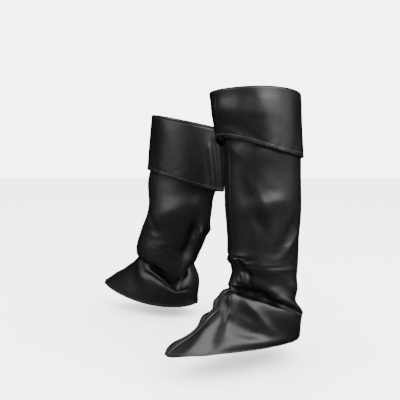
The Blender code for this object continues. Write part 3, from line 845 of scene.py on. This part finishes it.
def leather_face(mottle, grain):
    """The satin face of the leather cloth: near black, with painted shade in its troughs and painted light on
    its ridges, in its tone and its shine.
    """
    material, shader = new_material("satin_leather_cloth", LEATHER_TONE, roughness=0.34)
    nodes, links = material.node_tree.nodes, material.node_tree.links
    rough = placed_group(material, mottle, Scale=16.0, Low=0.37, High=0.45)
    links.new(rough.outputs["Value"], shader.inputs["Roughness"])
    # painted shade and painted light: from the lift mark, a darker tone and less shine in the troughs, a
    # lighter tone on the ridges
    painted_shade_mark = nodes.new("ShaderNodeAttribute")
    painted_shade_mark.attribute_name = "painted_shade_mark"
    tone = nodes.new("ShaderNodeValToRGB")
    tone.color_ramp.elements[0].color = TROUGH_PAINTED_SHADE_TONE
    tone.color_ramp.elements[1].color = RIDGE_PAINTED_LIGHT_TONE
    painted_shade_shine = nodes.new("ShaderNodeMapRange")
    painted_shade_shine.inputs["From Max"].default_value = FULL_SHINE_MARK
    painted_shade_shine.inputs["To Min"].default_value = TROUGH_PAINTED_SHADE_SHINE
    painted_shade_shine.inputs["To Max"].default_value = FULL_SHINE
    links.new(painted_shade_mark.outputs["Fac"], painted_shade_shine.inputs["Value"])
    links.new(painted_shade_shine.outputs["Result"], shader.inputs["Specular IOR Level"])
    links.new(painted_shade_mark.outputs["Fac"], tone.inputs["Fac"])
    links.new(tone.outputs["Color"], shader.inputs["Base Color"])
    pebbles = placed_group(material, grain, Cells_per_metre=1100.0, Fine=0.35)
    add_bump(material, shader, pebbles.outputs["Height"], strength=0.35, distance=0.00012)
    return material


def cloth_backing(mottle, grain):
    """The napped knit behind the leather, seen inside the tubes."""
    material, shader = new_material("napped_backing", BACKING_TONE, roughness=0.9)
    shader.inputs["Specular IOR Level"].default_value = 0.2
    shader.inputs["Sheen Weight"].default_value = 0.2
    rough = placed_group(material, mottle, Scale=30.0, Low=0.82, High=0.95)
    material.node_tree.links.new(rough.outputs["Value"], shader.inputs["Roughness"])
    nap = placed_group(material, grain, Cells_per_metre=1600.0, Fine=0.7)
    add_bump(material, shader, nap.outputs["Height"], strength=0.8, distance=0.0003)
    return material


def sewing_thread(mottle):
    """Black sewing thread with a slight lustre."""
    material, shader = new_material("black_thread", THREAD_TONE, roughness=0.6)
    rough = placed_group(material, mottle, Scale=400.0, Low=0.55, High=0.7)
    material.node_tree.links.new(rough.outputs["Value"], shader.inputs["Roughness"])
    return material


# Pieces

def add_piece(name, shape, materials):
    """An object with the mesh of a finished bmesh, which is freed."""
    mesh = bpy.data.meshes.new(name)
    shape.to_mesh(mesh)
    shape.free()
    mesh.shade_smooth()
    for material in materials:
        mesh.materials.append(material)
    piece = bpy.data.objects.new(name, mesh)
    bpy.context.scene.collection.objects.link(piece)
    return piece


def sheet_shape(points):
    """A sheet from a grid of points: create_grid's, with each vertex moved to its place."""
    rows, columns = points.shape[:2]
    cloth = bmesh.new()
    bmesh.ops.create_grid(cloth, x_segments=columns - 1, y_segments=rows - 1, size=1)
    for vertex in cloth.verts:
        column = round((vertex.co.x + 1) / 2 * (columns - 1))
        row = round((vertex.co.y + 1) / 2 * (rows - 1))
        vertex.co = points[row, column]
    return cloth


def node_name(topper, half, kind):
    """The name of the solid that a piece of cloth stands for."""
    side = "outer" if half > 0 else "inner"
    return f"{topper.name}_{side}_{kind}"


def cloth_piece(topper, half, kind, grid, shade_marks, materials):
    """One piece of leather cloth with its thickness, riding the frame in place of its solid."""
    node = node_name(topper, half, kind)
    if topper.side * half > 0:  # so that its faces point out of the tube
        grid, shade_marks = grid[:, ::-1], shade_marks[:, ::-1]
    piece = add_piece(f"{node}_cloth", sheet_shape(in_place(topper, grid)), materials)
    # the lift of each point, kept for the painted shade and painted light of the leather's face
    painted_shade_mark = piece.data.attributes.new("painted_shade_mark", "FLOAT", "POINT")
    painted_shade_mark.data.foreach_set("value", shade_marks.ravel())
    wall = piece.modifiers.new("Cloth thickness", "SOLIDIFY")
    wall.thickness = CLOTH
    wall.offset = -1
    wall.material_offset = 1
    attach(piece, "root")
    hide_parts(node)
    return piece


def line_at(points, half, distance_from_hem):
    """Points and normals of a grid, at one distance from its hem."""
    normals = outward_normals(points, half)
    distance = hem_distance(points)
    line, facing = [], []
    for column in range(points.shape[1]):
        along = distance[::-1, column]
        line.append([np.interp(distance_from_hem, along, points[::-1, column, k]) for k in range(3)])
        facing.append([np.interp(distance_from_hem, along, normals[::-1, column, k]) for k in range(3)])
    return np.array(line), unit(np.array(facing))


def stitch_place(place, ahead, up):
    """Turns a ball into one stitch that rests on the cloth, along its line and a little across it."""
    along = (ahead - place).normalized()
    across = up.cross(along).normalized()
    along = (along + math.tan(STITCH_SLANT) * across).normalized()
    across = up.cross(along).normalized()
    turned = Matrix((across, along.cross(across), along)).transposed().to_4x4()
    sizes = Matrix.Diagonal((STITCH_HALF_WIDTH, STITCH_HALF_HEIGHT, STITCH_HALF_LENGTH, 1))
    return Matrix.Translation(place + up * STITCH_HALF_HEIGHT) @ turned @ sizes


def stitch_row(topper, half, kind, points, stitch_line, thread):
    """The stitches along one hem, as one mesh of small threads lying in their groove."""
    line, facing = line_at(points, half, stitch_line)
    line = in_place(topper, line)
    facing = in_place(topper, facing) - np.array(topper.heel)
    travelled = np.concatenate(([0.0], np.cumsum(np.linalg.norm(np.diff(line, axis=0), axis=1))))
    count = int(travelled[-1] / STITCH_PITCH)
    sewn = bmesh.new()
    for index in range(count):
        middle = (index + 0.5) * travelled[-1] / count
        place, ahead, up = (
            Vector([np.interp(at, travelled, source[:, k]) for k in range(3)])
            for at, source in ((middle, line), (middle + STITCH_HALF_LENGTH, line), (middle, facing))
        )
        bmesh.ops.create_uvsphere(
            sewn, u_segments=STITCH_SIDES, v_segments=STITCH_RINGS, radius=1,
            matrix=stitch_place(place, ahead, up),
        )
    stitches = add_piece(f"{node_name(topper, half, kind)}_stitches", sewn, [thread])
    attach(stitches, "root")
    return stitches


def dress(topper, half, materials, thread):
    """One side of a topper: its panel and its half of the cuff, each with its stitches."""
    grid, shade_marks, points = panel_points(topper, half)
    panel = cloth_piece(topper, half, "panel", grid, shade_marks, materials)
    panel_stitches = stitch_row(topper, half, "panel", points, FOOT_STITCH_LINE, thread)
    grid, shade_marks, points = cuff_points(topper, half)
    cuff = cloth_piece(topper, half, "cuff", grid, shade_marks, materials)
    cuff_stitches = stitch_row(topper, half, "cuff", points, CUFF_STITCH_LINE, thread)


# The studio

def place_camera():
    """The camera, at the photo's angle and frame."""
    data = bpy.data.cameras.new("camera")
    data.lens = CAMERA_LENS
    data.sensor_width = CAMERA_SENSOR
    camera = bpy.data.objects.new("camera", data)
    bpy.context.scene.collection.objects.link(camera)
    camera.location = left_heel() + CAMERA_FROM_HEEL
    camera.rotation_euler = (math.pi / 2 - CAMERA_PITCH, 0, math.pi / 2)
    bpy.context.scene.camera = camera


def lay_floor():
    """A plain pale floor on the ground."""
    floor = bmesh.new()
    bmesh.ops.create_grid(floor, x_segments=1, y_segments=1, size=FLOOR_SIZE / 2)
    bmesh.ops.translate(floor, verts=floor.verts, vec=(0, 0, -RIM_HEIGHT))
    material, _ = new_material("pale_floor", FLOOR_TONE, FLOOR_ROUGHNESS)
    piece = add_piece("floor", floor, [material])
    piece.visible_glossy = False  # as in a studio whose floor and walls stay dark in the leather


def hang_lights():
    """Softboxes round the pair, with a pale even surround."""
    low, high = cad_box
    middle = (Vector(low) + Vector(high)) / 2
    for box in SOFTBOXES:
        data = bpy.data.lights.new(box.name, "AREA")
        data.shape = "RECTANGLE"
        data.size = box.width
        data.size_y = box.height
        data.energy = box.power
        light = bpy.data.objects.new(box.name, data)
        bpy.context.scene.collection.objects.link(light)
        azimuth, elevation = math.radians(box.azimuth), math.radians(box.elevation)
        way = Vector((
            math.cos(azimuth) * math.cos(elevation),
            math.sin(azimuth) * math.cos(elevation),
            math.sin(elevation),
        ))
        light.location = middle + way * box.distance
        light.rotation_euler = way.to_track_quat("Z", "Y").to_euler()
    world = bpy.data.worlds.new("pale_surround")
    world.use_nodes = True
    background = world.node_tree.nodes["Background"]
    background.inputs["Color"].default_value = WORLD_TONE
    background.inputs["Strength"].default_value = WORLD_STRENGTH
    world.cycles_visibility.glossy = False
    bpy.context.scene.world = world


def main():
    """Builds both toppers and the studio."""
    place_camera()
    mottle, grain = mottle_group(), grain_group()
    materials = (leather_face(mottle, grain), cloth_backing(mottle, grain))
    thread = sewing_thread(mottle)
    for topper in both_toppers():
        for half in (1, -1):
            dress(topper, half, materials, thread)
    lay_floor()
    hang_lights()


main()
